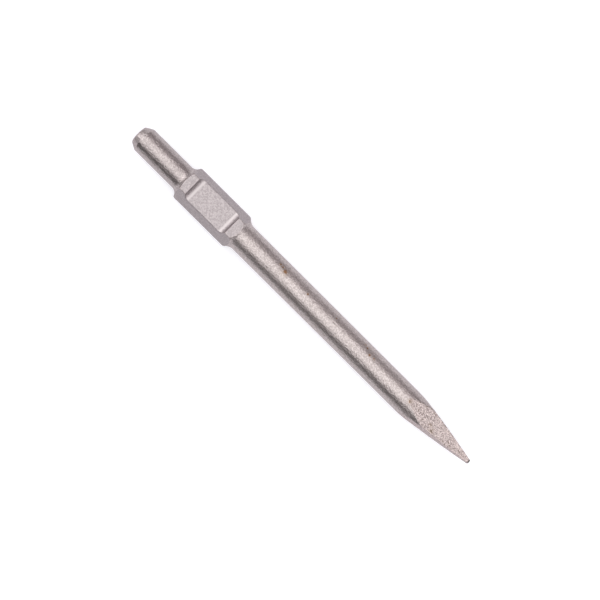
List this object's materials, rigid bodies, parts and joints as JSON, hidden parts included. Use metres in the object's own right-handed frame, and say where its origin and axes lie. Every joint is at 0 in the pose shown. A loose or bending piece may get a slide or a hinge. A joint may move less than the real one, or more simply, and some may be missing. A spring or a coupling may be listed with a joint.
{
  "type": "bull point chisel",
  "caption": "Forged steel bull point chisel for an electric breaker hammer, with a round shank, a notched hexagonal collar, a round body and a faceted point.",
  "frame": {"origin": "centre of the face that the hammer strikes, on the tool's axis", "axes": "+X along the tool's axis from the struck face to the point; +Z square to the collar flat that holds the retainer notch; +Y completes a right-handed frame. The tool lies on its side."},
  "size_m": [0.4, 0.0344, 0.03],
  "materials": {
    "forged_steel": "satin grey, shot-blasted and turned, with a rougher ground point and no paint"
  },
  "bodies": {
    "root": {"bull_point_chisel": "forged_steel"}
  },
  "joints": []
}
